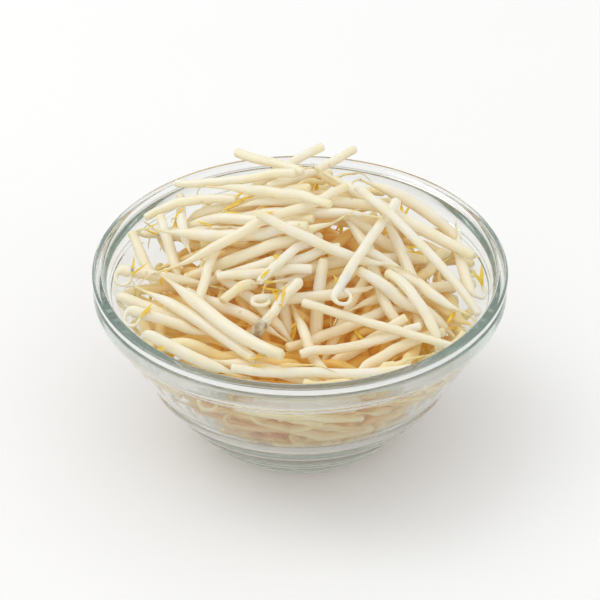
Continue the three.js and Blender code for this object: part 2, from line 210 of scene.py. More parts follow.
# The rim: how far each corner lies inside the rim's radius and how far below its top.
rim_outline = [(2.7, 12.0), (2.5, 10.6), (0.9, 10.2), (0.1, 8.6), (0.2, 5.4), (0.4, 3.9), (1.5, 3.3),
               (0.5, 2.9), (-0.25, 2.2), (-0.1, 0.5), (1.0, -0.25), (3.0, -0.15), (3.9, 0.6),
               (rim_thickness / mm, 1.5)]
rim_line = rounded([(rim_radius - inset * mm, rim_height - drop * mm) for inset, drop in rim_outline], 3)
rim_line[:, 0] = np.minimum(rim_line[:, 0], rim_radius)
rim_line[:, 1] = np.minimum(rim_line[:, 1], rim_height)
foot_line = rounded([(0, foot_recess), (foot_radius - foot_ring_width - 1 * mm, foot_recess),
                     (foot_radius - foot_ring_width, 0), (foot_radius, 0), tuple(outer_wall[0])], 2)
well_line = [(foot_radius - 8 * mm, foot_recess + base_thickness - 0.4 * mm),
             (0, foot_recess + base_thickness - 0.6 * mm)]
bowl_section = np.concatenate([foot_line[:-1], ribbed(outer_wall)[:-1], rim_line[:-1], inner_wall[::-1],
                               well_line])


def turned(name, section, segments):
    """A closed solid turned from a section that starts and ends on the axis."""
    angles = np.arange(segments) * 2 * math.pi / segments
    ring = section[1:-1]
    points = [(0, 0, section[0][1]), (0, 0, section[-1][1])]
    for radius, height in ring:
        points += [(radius * math.cos(a), radius * math.sin(a), height) for a in angles]
    faces = []
    for row in range(len(ring) - 1):
        for k in range(segments):
            here = 2 + row * segments
            after = (k + 1) % segments
            faces.append((here + k, here + after, here + segments + after, here + segments + k))
    last = 2 + (len(ring) - 1) * segments
    for k in range(segments):
        after = (k + 1) % segments
        faces.append((0, 2 + after, 2 + k))
        faces.append((1, last + k, last + after))
    mesh = bpy.data.meshes.new(name)
    mesh.from_pydata(points, [], faces)
    mesh.shade_smooth()
    return mesh


bowl_mesh = turned("glass_bowl_fine", bowl_section, 200)
bowl = bpy.data.objects.new("glass_bowl_fine", bowl_mesh)
scene.collection.objects.link(bowl)

# Soda glass: clear, with a grey-green cast where it is seen edge on, and a faint pressed ripple.
glass_material, glass_nodes, glass_shader = new_material("soda_glass")
set_inputs(glass_shader, Base_Color=(0.955, 0.957, 0.95, 1), IOR=1.5, Transmission_Weight=1)
glass_place = glass_nodes.nodes.new("ShaderNodeTexCoord")
glass_ripple = add_node(glass_nodes, "ShaderNodeTexNoise", Scale=45, Detail=1)
glass_bump = add_node(glass_nodes, "ShaderNodeBump", Strength=0.12, Distance=0.4 * mm)
glass_smear = add_node(glass_nodes, "ShaderNodeTexNoise", Scale=30, Detail=4)
glass_polish = add_node(glass_nodes, "ShaderNodeMapRange", From_Min=0.45, From_Max=0.75, To_Min=0.0,
                        To_Max=0.05)
glass_nodes.links.new(glass_place.outputs["Object"], glass_ripple.inputs["Vector"])
glass_nodes.links.new(glass_place.outputs["Object"], glass_smear.inputs["Vector"])
glass_nodes.links.new(glass_ripple.outputs["Fac"], glass_bump.inputs["Height"])
glass_nodes.links.new(glass_bump.outputs["Normal"], glass_shader.inputs["Normal"])
glass_nodes.links.new(glass_smear.outputs["Fac"], glass_polish.inputs["Value"])
glass_nodes.links.new(glass_polish.outputs["Result"], glass_shader.inputs["Roughness"])
# Lamps shine straight through the wall onto the sprouts behind it.
glass_lets_through = add_node(glass_nodes, "ShaderNodeBsdfTransparent", Color=(0.9, 0.93, 0.915, 1))
glass_ray = glass_nodes.nodes.new("ShaderNodeLightPath")
glass_mix = glass_nodes.nodes.new("ShaderNodeMixShader")
glass_nodes.links.new(glass_ray.outputs["Is Shadow Ray"], glass_mix.inputs["Fac"])
glass_nodes.links.new(glass_shader.outputs["BSDF"], glass_mix.inputs[1])
glass_nodes.links.new(glass_lets_through.outputs["BSDF"], glass_mix.inputs[2])
glass_nodes.links.new(glass_mix.outputs["Shader"], glass_nodes.nodes["Material Output"].inputs["Surface"])
glass_absorption = add_node(glass_nodes, "ShaderNodeVolumeAbsorption", Color=(0.60, 0.69, 0.65, 1),
                            Density=14)
glass_nodes.links.new(glass_absorption.outputs["Volume"], glass_nodes.nodes["Material Output"].inputs["Volume"])
bowl_mesh.materials.append(glass_material)
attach(bowl, "root")
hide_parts("glass_bowl")

# ------------------------------------------------------------------------------------------------
# The flesh of a sprout: pale, wet and a little see-through, with fine strings along it. It is yellow brown at
# the root, creamier at the neck, and painted darker and warmer deep in the heap: a painted shade that stands in
# for light that has come through other sprouts.
# ------------------------------------------------------------------------------------------------


def group_socket(group, name, kind, out=False, value=None):
    socket = group.interface.new_socket(name=name, in_out="OUTPUT" if out else "INPUT", socket_type=kind)
    if value is not None:
        socket.default_value = value
    return socket


def mix_colours(tree, factor, first, second):
    """A colour between two, each a socket or a plain colour."""
    mix = tree.nodes.new("ShaderNodeMix")
    mix.data_type = "RGBA"
    tree.links.new(factor, mix.inputs["Factor"])
    for name, colour in (("A", first), ("B", second)):
        if isinstance(colour, tuple):
            mix.inputs[name].default_value = (*colour, 1)
        else:
            tree.links.new(colour, mix.inputs[name])
    return mix.outputs["Result"]


def map_range(tree, value, low, high, to_low=0.0, to_high=1.0):
    """A value carried over smoothly from one range to another."""
    node = tree.nodes.new("ShaderNodeMapRange")
    node.interpolation_type = "SMOOTHSTEP"
    tree.links.new(value, node.inputs["Value"])
    set_inputs(node, From_Min=low, From_Max=high, To_Min=to_low, To_Max=to_high)
    return node.outputs["Result"]


flesh = bpy.data.node_groups.new("sprout_flesh", "ShaderNodeTree")
group_socket(flesh, "Pale", "NodeSocketColor", value=(0.88, 0.83, 0.70, 1))
group_socket(flesh, "Cream", "NodeSocketColor", value=(0.80, 0.71, 0.50, 1))
# The colour of the painted shade, deep in the heap.
group_socket(flesh, "Painted Shade", "NodeSocketColor", value=(0.70, 0.40, 0.10, 1))
group_socket(flesh, "Root", "NodeSocketColor", value=(0.62, 0.42, 0.17, 1))
group_socket(flesh, "Color", "NodeSocketColor", out=True)
group_socket(flesh, "Roughness", "NodeSocketFloat", out=True)
group_socket(flesh, "Height", "NodeSocketFloat", out=True)
# The colour of the painted glow, light that the flesh gives off though it is no lamp.
group_socket(flesh, "Painted Glow", "NodeSocketColor", out=True)
flesh_in = flesh.nodes.new("NodeGroupInput")
flesh_out = flesh.nodes.new("NodeGroupOutput")


def grown(tree, name):
    """A value that each sprout carries along it."""
    node = tree.nodes.new("ShaderNodeAttribute")
    node.attribute_name = name
    return node.outputs["Fac"]


flesh_place = flesh.nodes.new("ShaderNodeTexCoord")
flesh_cloud = add_node(flesh, "ShaderNodeTexNoise", Scale=170, Detail=3)
flesh.links.new(flesh_place.outputs["Object"], flesh_cloud.inputs["Vector"])
# The strings run along the stem, so they follow its length and its girth.
flesh_line = flesh.nodes.new("ShaderNodeCombineXYZ")
flesh.links.new(grown(flesh, "along"), flesh_line.inputs["X"])
flesh.links.new(grown(flesh, "across"), flesh_line.inputs["Y"])
flesh.links.new(grown(flesh, "tone"), flesh_line.inputs["Z"])
flesh_stretch = add_node(flesh, "ShaderNodeMapping", Scale=(3.0, 22.0, 40.0))
flesh_strings = add_node(flesh, "ShaderNodeTexNoise", Scale=1, Detail=2)
flesh.links.new(flesh_line.outputs["Vector"], flesh_stretch.inputs["Vector"])
flesh.links.new(flesh_stretch.outputs["Vector"], flesh_strings.inputs["Vector"])
# Small bruises and specks.
flesh_specks = add_node(flesh, "ShaderNodeTexVoronoi", Scale=120)
flesh.links.new(flesh_place.outputs["Object"], flesh_specks.inputs["Vector"])

# Each layer: where it comes from, the values it fades in between, how strong it gets, and its colour. Cloudy
# cream, a creamier tone on some sprouts, pale and darker strings, the neck, the root, and the specks.
flesh_layers = [(flesh_cloud.outputs["Fac"], 0.35, 0.72, 1.0, flesh_in.outputs["Cream"]),
                (grown(flesh, "tone"), 0.3, 1.0, 0.9, flesh_in.outputs["Cream"]),
                (flesh_strings.outputs["Fac"], 0.5, 0.75, 0.4, (0.94, 0.92, 0.85)),
                (flesh_strings.outputs["Fac"], 0.48, 0.25, 0.5, (0.86, 0.77, 0.55)),
                (grown(flesh, "along"), 0.86, 1.0, 0.55, (0.84, 0.74, 0.44)),
                (grown(flesh, "along"), 0.20, 0.02, 0.85, flesh_in.outputs["Root"]),
                (flesh_specks.outputs["Distance"], 0.10, 0.05, 0.35, (0.52, 0.36, 0.15))]
body_tone = flesh_in.outputs["Pale"]
for source, low, high, strength, colour in flesh_layers:
    body_tone = mix_colours(flesh, map_range(flesh, source, low, high, 0.0, strength), body_tone, colour)
# Painted shade: deep in the heap the colour turns darker and warmer, for shade and the light that comes through
# other sprouts.
body_tone = mix_colours(flesh, grown(flesh, "painted_shade"), body_tone, flesh_in.outputs["Painted Shade"])
flesh.links.new(body_tone, flesh_out.inputs["Color"])
flesh.links.new(map_range(flesh, flesh_cloud.outputs["Fac"], 0.3, 0.7, 0.28, 0.44),
                flesh_out.inputs["Roughness"])
# Painted light: the flesh gives off a faint golden glow, though it is no lamp, for light that has come through
# the sprouts around, more so deep down.
flesh.links.new(mix_colours(flesh, grown(flesh, "painted_shade"), (0.55, 0.43, 0.24), (0.95, 0.62, 0.18)),
                flesh_out.inputs["Painted Glow"])
flesh_relief = flesh.nodes.new("ShaderNodeMath")
flesh_relief.operation = "MULTIPLY_ADD"
flesh_relief.inputs[1].default_value = 0.6
flesh.links.new(flesh_strings.outputs["Fac"], flesh_relief.inputs[0])
flesh.links.new(flesh_cloud.outputs["Fac"], flesh_relief.inputs[2])
flesh.links.new(flesh_relief.outputs["Value"], flesh_out.inputs["Height"])


# How far light spreads inside the flesh, and how strong the faint painted glow is that it gives off, though it
# is no lamp.
light_spread = 2.4 * mm
painted_glow_strength = 0.055


def sprout_material(name, pale, cream, painted_shade, root):
    """A sprout's flesh in its own colours."""
    material, tree, shader = new_material(name)
    skin = tree.nodes.new("ShaderNodeGroup")
    skin.node_tree = flesh
    for socket, colour in (("Pale", pale), ("Cream", cream), ("Painted Shade", painted_shade), ("Root", root)):
        skin.inputs[socket].default_value = (*colour, 1)
    bump = add_node(tree, "ShaderNodeBump", Strength=0.35, Distance=0.15 * mm)
    tree.links.new(skin.outputs["Color"], shader.inputs["Base Color"])
    tree.links.new(skin.outputs["Roughness"], shader.inputs["Roughness"])
    # Painted light: the flesh glows faintly.
    tree.links.new(skin.outputs["Painted Glow"], shader.inputs["Emission Color"])
    shader.inputs["Emission Strength"].default_value = painted_glow_strength
    tree.links.new(skin.outputs["Height"], bump.inputs["Height"])
    tree.links.new(bump.outputs["Normal"], shader.inputs["Normal"])
    set_inputs(shader, Subsurface_Weight=0.8, Subsurface_Radius=(1.0, 0.85, 0.6),
               Subsurface_Scale=light_spread, Specular_IOR_Level=0.5, Coat_Weight=0.15, Coat_Roughness=0.25)
    return material


# Lit and shaded copies of one flesh: the sprouts on top get the lit colours, and those underneath get painted
# shade, darker and more golden.
lit_flesh = sprout_material("lit_sprout_flesh", (0.92, 0.89, 0.79), (0.92, 0.85, 0.65),
                              (0.91, 0.72, 0.34), (0.82, 0.65, 0.33))
shaded_flesh = sprout_material("shaded_sprout_flesh", (0.92, 0.86, 0.66), (0.91, 0.785, 0.46),
                               (0.86, 0.59, 0.15), (0.80, 0.58, 0.24))

# The seed leaves: a pair of small blades, bright yellow.
leaf_material, leaf_tree, leaf_shader = new_material("seed_leaf")
leaf_place = leaf_tree.nodes.new("ShaderNodeTexCoord")
leaf_cloud = add_node(leaf_tree, "ShaderNodeTexNoise", Scale=500)
leaf_tree.links.new(leaf_place.outputs["Object"], leaf_cloud.inputs["Vector"])
leaf_tone = mix_colours(leaf_tree, map_range(leaf_tree, leaf_cloud.outputs["Fac"], 0.35, 0.65),
                        (0.88, 0.55, 0.03), (0.93, 0.70, 0.10))
leaf_tree.links.new(leaf_tone, leaf_shader.inputs["Base Color"])
leaf_tree.links.new(map_range(leaf_tree, leaf_cloud.outputs["Fac"], 0.3, 0.7, 0.4, 0.6),
                    leaf_shader.inputs["Roughness"])
set_inputs(leaf_shader, Subsurface_Weight=0.2, Subsurface_Radius=(1.0, 0.8, 0.2), Subsurface_Scale=0.6 * mm)

# ------------------------------------------------------------------------------------------------
# How a sprout is drawn: round flesh along a line that swells and narrows, with leaves that are flat.
# The lines carry the thickness and the colours, and this tree gives them their bodies.
# ------------------------------------------------------------------------------------------------
grow = bpy.data.node_groups.new("grow_sprouts", "GeometryNodeTree")
group_socket(grow, "Lines", "NodeSocketGeometry")
sides_input = group_socket(grow, "Sides", "NodeSocketInt", value=14)
lump_height_input = group_socket(grow, "Lump Height", "NodeSocketFloat", value=0.12 * mm)
flesh_input = group_socket(grow, "Flesh", "NodeSocketMaterial")
leaf_input = group_socket(grow, "Leaf", "NodeSocketMaterial")
group_socket(grow, "Sprouts", "NodeSocketGeometry", out=True)
grow_in = grow.nodes.new("NodeGroupInput")
grow_out = grow.nodes.new("NodeGroupOutput")


def carried(name):
    node = grow.nodes.new("GeometryNodeInputNamedAttribute")
    node.data_type = "FLOAT"
    node.inputs["Name"].default_value = name
    return node.outputs["Attribute"]


def flesh_along(leaf, flatness):
    """The bodies along the lines that are leaves, or along those that aren't."""
    chosen = grow.nodes.new("FunctionNodeCompare")
    chosen.operation = "GREATER_THAN" if leaf else "LESS_EQUAL"
    grow.links.new(carried("leaf"), chosen.inputs["A"])
    chosen.inputs["B"].default_value = 0.5
    curves = grow.nodes.new("GeometryNodeMeshToCurve")
    grow.links.new(grow_in.outputs["Lines"], curves.inputs["Mesh"])
    grow.links.new(chosen.outputs["Result"], curves.inputs["Selection"])
    ring = add_node(grow, "GeometryNodeCurvePrimitiveCircle", Radius=1)
    grow.links.new(grow_in.outputs["Sides"], ring.inputs["Resolution"])
    girth = grow.nodes.new("GeometryNodeSplineParameter")
    marked = grow.nodes.new("GeometryNodeStoreNamedAttribute")
    marked.data_type = "FLOAT"
    marked.domain = "POINT"
    marked.inputs["Name"].default_value = "across"
    grow.links.new(ring.outputs["Curve"], marked.inputs["Geometry"])
    grow.links.new(girth.outputs["Factor"], marked.inputs["Value"])
    flat = add_node(grow, "GeometryNodeTransform", Scale=(1, flatness, 1))
    grow.links.new(marked.outputs["Geometry"], flat.inputs["Geometry"])
    body = add_node(grow, "GeometryNodeCurveToMesh", Fill_Caps=True)
    grow.links.new(curves.outputs["Curve"], body.inputs["Curve"])
    grow.links.new(flat.outputs["Geometry"], body.inputs["Profile Curve"])
    grow.links.new(carried("thickness"), body.inputs["Scale"])
    coloured = grow.nodes.new("GeometryNodeSetMaterial")
    grow.links.new(body.outputs["Mesh"], coloured.inputs["Geometry"])
    grow.links.new(grow_in.outputs["Leaf" if leaf else "Flesh"], coloured.inputs["Material"])
    return coloured.outputs["Geometry"]


grow_join = grow.nodes.new("GeometryNodeJoinGeometry")
grow.links.new(flesh_along(True, 0.3), grow_join.inputs["Geometry"])
grow.links.new(flesh_along(False, 1.0), grow_join.inputs["Geometry"])
# Nothing that grew is quite round: the skin swells and sinks a little.
lump_noise = add_node(grow, "ShaderNodeTexNoise", Scale=260, Detail=1)
lump_centre = grow.nodes.new("ShaderNodeMath")
lump_centre.operation = "SUBTRACT"
lump_centre.inputs[1].default_value = 0.5
lump_size = grow.nodes.new("ShaderNodeMath")
lump_size.operation = "MULTIPLY"
lump_out = grow.nodes.new("GeometryNodeInputNormal")
lump_push = grow.nodes.new("ShaderNodeVectorMath")
lump_push.operation = "SCALE"
lumpy = grow.nodes.new("GeometryNodeSetPosition")
grow.links.new(lump_noise.outputs["Fac"], lump_centre.inputs[0])
grow.links.new(lump_centre.outputs["Value"], lump_size.inputs[0])
grow.links.new(grow_in.outputs["Lump Height"], lump_size.inputs[1])
grow.links.new(lump_out.outputs["Normal"], lump_push.inputs[0])
grow.links.new(lump_size.outputs["Value"], lump_push.inputs["Scale"])
grow.links.new(grow_join.outputs["Geometry"], lumpy.inputs["Geometry"])
grow.links.new(lump_push.outputs["Vector"], lumpy.inputs["Offset"])
grow_smooth = grow.nodes.new("GeometryNodeSetShadeSmooth")
grow_real = grow.nodes.new("GeometryNodeRealizeInstances")
grow.links.new(lumpy.outputs["Geometry"], grow_smooth.inputs["Geometry"])
grow.links.new(grow_smooth.outputs["Geometry"], grow_real.inputs["Geometry"])
grow.links.new(grow_real.outputs["Geometry"], grow_out.inputs["Sprouts"])


def grow_piece(name, strands, material, sides, lump_height):
    """One mesh of sprouts from their lines. A line is a list of points with a thickness and colours each."""
    lines = bpy.data.meshes.new(name + "_lines")
    points = np.concatenate([strand["points"] for strand in strands])
    starts = np.cumsum([0] + [len(strand["points"]) for strand in strands])
    edges = [(i, i + 1) for start, end in zip(starts[:-1], starts[1:]) for i in range(start, end - 1)]
    lines.from_pydata([tuple(point) for point in points], edges, [])
    for key in ("thickness", "along", "tone", "painted_shade", "leaf"):
        values = np.concatenate([np.broadcast_to(strand[key], len(strand["points"])) for strand in strands])
        lines.attributes.new(key, "FLOAT", "POINT").data.foreach_set("value", values.astype(np.float32))
    holder = bpy.data.objects.new(name + "_lines", lines)
    scene.collection.objects.link(holder)
    modifier = holder.modifiers.new("grow", "NODES")
    modifier.node_group = grow
    modifier[sides_input.identifier] = sides
    modifier[lump_height_input.identifier] = lump_height
    modifier[flesh_input.identifier] = material
    modifier[leaf_input.identifier] = leaf_material
    evaluated = holder.evaluated_get(bpy.context.evaluated_depsgraph_get())
    mesh = bpy.data.meshes.new_from_object(evaluated)
    mesh.name = name
    bpy.data.objects.remove(holder)
    bpy.data.meshes.remove(lines)
    piece = bpy.data.objects.new(name, mesh)
    scene.collection.objects.link(piece)
    return piece


# ------------------------------------------------------------------------------------------------
# The sprouts on top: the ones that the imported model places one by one. Each is drawn along the middle
# of its solid, with a root thread at the tail and a pair of leaves at the head.
# ------------------------------------------------------------------------------------------------
whims = np.random.default_rng(7)
# A straight packed sprout has this many rings, and a curled one has more. Its rounded ends draw in the first
# and last ring to this share. The last rings of a curl narrow towards the leaves.
stem_rings = 12
end_share = 0.65
curl_rings = 6
curl_narrowing = 0.7
# A root or neck is thinner than this, and a blunt, broken end is thicker.
thin_end = 1.2 * mm


def solid_rings(node):
    """The middles and radii of the rings of a packed sprout, from its tail to its head."""
    work = bmesh.new()
    work.from_mesh(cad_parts[node].data)
    bmesh.ops.remove_doubles(work, verts=work.verts, dist=1e-6)
    end_ring = {vertex for vertex in work.verts if len(vertex.link_edges) == 5}
    poles = [v for v in work.verts if all(edge.other_vert(v) in end_ring for edge in v.link_edges)]
    ring, seen, rings = {poles[0]}, {poles[0]}, []
    while ring:
        rings.append(np.array([vertex.co for vertex in ring]))
        ring = {edge.other_vert(v) for v in ring for edge in v.link_edges} - seen
        seen |= ring
    work.free()
    middles = np.array([points.mean(axis=0) for points in rings[1:-1]])
    radii = np.array([np.linalg.norm(p - m, axis=1).mean() for p, m in zip(rings[1:-1], middles)])
    # A curled head is thin and even over its last rings, where a tail grows quickly from its tip.
    curled = len(middles) > stem_rings
    curl_first = np.ptp(radii[1:5]) < 0.1 * mm and radii[1] < 0.6 * radii.max()
    if curl_first if curled else radii[1] > 1.2 * radii[-2]:
        middles, radii = middles[::-1], radii[::-1]
    # The first and last rings are drawn in by the solid's rounded ends.
    radii[0] /= end_share
    radii[-1] /= end_share
    if curled:
        radii[-curl_rings:] *= np.linspace(1, curl_narrowing, curl_rings)
    return middles, radii


def smooth_step(low, high, value):
    share = np.clip((value - low) / (high - low), 0, 1)
    return share * share * (3 - 2 * share)


def inside_radius(height):
    """The inside of the glass at a height."""
    return np.interp(height, inner_wall[:, 1], inner_wall[:, 0])


def surface_tree(holder):
    """An object's surface, ready to be looked down on."""
    mesh = holder.data
    faces = [tuple(face.vertices) for face in mesh.polygons]
    return BVHTree.FromPolygons([vertex.co.copy() for vertex in mesh.vertices], faces)


# The top of the bed of sprouts, read off its solid on a grid, and carried on outwards past its edge.
bed_tree = surface_tree(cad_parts["sprout_bed"])
grid_step = 2 * mm
grid_count = int(2 * rim_radius / grid_step) + 1
step_inwards = 0.97
bed_top = np.zeros((grid_count, grid_count))
for row in range(grid_count):
    for column in range(grid_count):
        spot = Vector((column * grid_step - rim_radius, row * grid_step - rim_radius, 0))
        while True:
            hit = bed_tree.ray_cast(Vector((spot.x, spot.y, 1)), Vector((0, 0, -1)))[0]
            if hit is not None and hit.z > 0.5 * rim_height:
                break
            spot *= step_inwards
        bed_top[row, column] = hit.z
top_layer = 9.5 * mm
hollow_place = (7 * mm, -21 * mm)
hollow_width = 13 * mm
hollow_share = 0.6


def heap_top(x, y):
    """The height of the heap's surface: the top of the bed and the layer on it, which is thin in the hollow."""
    column = np.clip((x + rim_radius) / grid_step, 0, grid_count - 1.001)
    row = np.clip((y + rim_radius) / grid_step, 0, grid_count - 1.001)
    c, r = column.astype(int), row.astype(int)
    u, v = column - c, row - r
    level = (bed_top[r, c] * (1 - u) + bed_top[r, c + 1] * u) * (1 - v)
    level += (bed_top[r + 1, c] * (1 - u) + bed_top[r + 1, c + 1] * u) * v
    from_hollow = np.hypot(x - hollow_place[0], y - hollow_place[1]) / hollow_width
    return level + top_layer * (1 - hollow_share * np.exp(-from_hollow ** 2))


def painted_shade_amount(points):
    """How much painted shade a sprout gets: deep in the heap and away from the glass it is painted darker and
    warmer, for the light that comes through other sprouts.
    """
    below_rim = smooth_step(2 * mm, 20 * mm, rim_height - points[:, 2])
    below_top = smooth_step(5 * mm, 16 * mm, heap_top(points[:, 0], points[:, 1]) - points[:, 2])
    from_glass = inside_radius(points[:, 2]) - np.hypot(points[:, 0], points[:, 1])
    return np.maximum(below_rim, 0.7 * below_top) * (0.3 + 0.7 * smooth_step(4 * mm, 20 * mm, from_glass))


def keep_inside(points, radius):
    """Moves points in from the glass and up off the floor of the bowl."""
    kept = points.copy()
    room = inside_radius(kept[:, 2]) - 1.2 * (radius + 0.2 * mm)
    distance = np.hypot(kept[:, 0], kept[:, 1])
    scale = np.where(distance > room, room / np.maximum(distance, 1e-6), 1)
    kept[:, :2] *= scale[:, None]
    kept[:, 2] = np.maximum(kept[:, 2], foot_recess + base_thickness + radius)
    return kept


def drooping_thread(start, direction, length, wander, count=8):
    """Points of a fine thread that sets off in a direction and wanders and droops."""
    heading = direction / np.linalg.norm(direction)
    points = [start]
    for _ in range(count - 1):
        heading = heading + wander * whims.normal(size=3) + np.array([0, 0, -0.08])
        heading /= np.linalg.norm(heading)
        points.append(points[-1] + heading * length / (count - 1))
    return np.array(points)


def strand(points, thickness, along, tone, leaf=0.0, painted_shade=1.0):
    # Each point gets its share of the painted shade, darker and warmer deep in the heap.
    return {"points": points, "thickness": thickness, "along": along, "tone": tone, "leaf": leaf,
            "painted_shade": painted_shade * painted_shade_amount(points)}


def finer(rows, steps):
    """A smooth curve through rows of numbers, with each gap cut into steps."""
    ends = np.concatenate([[2 * rows[0] - rows[1]], rows, [2 * rows[-1] - rows[-2]]])
    before, here, after, beyond = ends[:-3], ends[1:-2], ends[2:-1], ends[3:]
    share = (np.arange(steps) / steps)[None, :, None]
    before, here, after, beyond = (each[:, None, :] for each in (before, here, after, beyond))
    curve = 0.5 * (2 * here + (after - before) * share
                   + (2 * before - 5 * here + 4 * after - beyond) * share ** 2
                   + (3 * here - before - 3 * after + beyond) * share ** 3)
    return np.concatenate([curve.reshape(-1, rows.shape[1]), rows[-1:]])


def stem_strand(middles, radii, tone, steps, painted_shade):
    """The stem, whose two ends close with a small round at the edge."""
    line = finer(np.column_stack([middles, radii]), steps)
    middles, radii = line[:, :3], line[:, 3]
    out_tail = middles[0] - middles[1]
    out_head = middles[-1] - middles[-2]
    out_tail /= np.linalg.norm(out_tail)
    out_head /= np.linalg.norm(out_head)
    tail = [middles[0] + out_tail * radii[0] * reach for reach in (0.62, 0.56, 0.38, 0.15)]
    head = [middles[-1] + out_head * radii[-1] * reach for reach in (0.15, 0.38, 0.56, 0.62)]
    blunt = np.array([0.5, 0.78, 0.94, 0.99])
    points = np.concatenate([tail, middles, head])
    thickness = np.concatenate([radii[0] * blunt, radii, radii[-1] * blunt[::-1]])
    travelled = np.concatenate([[0], np.cumsum(np.linalg.norm(np.diff(points, axis=0), axis=1))])
    along = travelled / travelled[-1]
    # A stem that broke off above its root has no brown end.
    if radii[0] > thin_end:
        along = 0.25 + 0.6 * along
    return strand(points, thickness, along, tone, painted_shade=painted_shade)


def root_strands(middles, radii, tone, hairs):
    """The thread that the root ends in, and the hairs on it."""
    away = middles[0] - middles[1]
    thread = keep_inside(drooping_thread(middles[0], away, whims.uniform(3, 9) * mm, 0.16), 0.2 * mm)
    made = [strand(thread, np.linspace(min(radii[0], 0.5 * mm), 0.1 * mm, len(thread)), 0.06, tone)]
    for _ in range(hairs):
        start = middles[0] + (middles[2] - middles[0]) * whims.uniform(0, 0.8)
        hair = drooping_thread(start, whims.normal(size=3), whims.uniform(3, 6) * mm, 0.4)
        hair = keep_inside(hair, 0.1 * mm)
        made.append(strand(hair, np.linspace(0.11, 0.05, len(hair)) * mm, 0.05, tone))
    return made


def leaf_strands(middles, tone):
    """A pair of narrow blades at the head, that open from one point."""
    ahead = middles[-1] - middles[-2]
    ahead /= np.linalg.norm(ahead)
    made = []
    for side in (-1, 1):
        spread = np.cross(ahead, whims.normal(size=3)) * 0.35 * side
        length = whims.uniform(5.5, 8.5) * mm
        blade = drooping_thread(middles[-1], ahead + spread, length, 0.16, 6)
        width = np.array([0.45, 0.8, 1.0, 0.95, 0.6, 0.12]) * whims.uniform(0.5, 0.75) * mm
        blade = finer(np.column_stack([keep_inside(blade, 0.4 * mm), width]), 3)
        made.append(strand(blade[:, :3], blade[:, 3], 1.0, tone, leaf=1.0))
    return made


# The seed coat of a bean that hasn't let go yet: a wrinkled, grey-brown shell round the tail end.
coat_material, coat_tree, coat_shader = new_material("seed_coat")
coat_place = coat_tree.nodes.new("ShaderNodeTexCoord")
coat_cloud = add_node(coat_tree, "ShaderNodeTexNoise", Scale=420, Detail=4)
coat_wrinkle = add_node(coat_tree, "ShaderNodeBump", Strength=0.7, Distance=0.3 * mm)
coat_tree.links.new(coat_place.outputs["Object"], coat_cloud.inputs["Vector"])
coat_tone = mix_colours(coat_tree, map_range(coat_tree, coat_cloud.outputs["Fac"], 0.35, 0.65),
                        (0.42, 0.33, 0.20), (0.74, 0.66, 0.48))
coat_tree.links.new(coat_tone, coat_shader.inputs["Base Color"])
coat_tree.links.new(map_range(coat_tree, coat_cloud.outputs["Fac"], 0.3, 0.7, 0.5, 0.75),
                    coat_shader.inputs["Roughness"])
coat_tree.links.new(coat_cloud.outputs["Fac"], coat_wrinkle.inputs["Height"])
coat_tree.links.new(coat_wrinkle.outputs["Normal"], coat_shader.inputs["Normal"])


def seed_coat(middles):
    """A bean-shaped shell round the first rings of a sprout: a closed lump, longer than it is wide."""
    along = middles[0] - middles[1]
    along /= np.linalg.norm(along)
    shell = bmesh.new()
    bmesh.ops.create_uvsphere(shell, u_segments=28, v_segments=18, radius=1)
    turn = Vector((0, 0, 1)).rotation_difference(Vector(along)).to_matrix()
    for vertex in shell.verts:
        x, y, z = vertex.co
        # One side is drawn in, as a bean's is, and the coat has sagged into folds.
        fold = 1 + 0.07 * math.sin(5 * z + 3 * x) + 0.05 * math.sin(9 * y + 2)
        bean = Vector((2.9 * x * fold, 2.5 * y * fold - 0.8 * (1 - z * z) * (y < 0) * y, 3.9 * z)) * mm
        vertex.co = turn @ bean + Vector(middles[0] + along * 1.2 * mm)
    mesh = bpy.data.meshes.new("bean_seed_coat")
    shell.to_mesh(mesh)
    shell.free()
    mesh.shade_smooth()
    mesh.materials.append(coat_material)
    coat = bpy.data.objects.new("bean_seed_coat", mesh)
    scene.collection.objects.link(coat)
    return coat


top_sprouts = sorted(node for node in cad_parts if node.startswith("sprout_") and node != "sprout_bed")
coated_sprout = "sprout_24"
coated_root_hairs = 8
top_chains, top_pieces = [], []
for node in top_sprouts:
    middles, radii = solid_rings(node)
    top_chains.append((middles, radii))
    tone = whims.uniform()
    parts = [stem_strand(middles, radii * whims.uniform(0.88, 1.03), tone, 4, 0.4)]
    if radii[0] < thin_end:
        parts += root_strands(middles, radii, tone, whims.integers(0, 3))
    if node == coated_sprout:
        parts += root_strands(middles, radii, tone, coated_root_hairs)
    if radii[-1] < thin_end:
        parts += leaf_strands(middles, tone)
    piece = grow_piece("bean_" + node, parts, lit_flesh, 16, 0.14 * mm)
    top_pieces.append(piece)
    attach(piece, "root")
    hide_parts(node)
    if node == coated_sprout:
        coat = seed_coat(middles)
        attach(coat, "root")
        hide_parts(node)

# ------------------------------------------------------------------------------------------------
# The sprouts underneath: the tangle that fills the bowl. They are dropped in at random, and then push
# each other, the glass and the sprouts on top aside until they lie free.
# ------------------------------------------------------------------------------------------------
under_count = 290
ring_count = 16
hook_rings = 5
hook_radius = 2.8 * mm
hooked_share = 0.45
broken_share = 0.3
# How deep a sprout's middle starts below the top, and how far its ends may start outside the glass.
least_cover = 2 * mm
most_overhang = 9 * mm
# The gap that two sprouts keep, the most that one may stay pressed into a top one, and the room they keep
# from the glass.
gap = 0.15 * mm
squeeze_limit = 0.7 * mm
glass_clearance = 0.5 * mm
# Each round moves sprouts by a little more than they overlap, and takes back this share of what that bent.
# Which stretches are near each other is looked up again every few rounds.
push_factor = 1.3
hold_share = 0.25
near_reach = 10 * mm
rounds_between_lookups = 8
lays = np.random.default_rng(11)


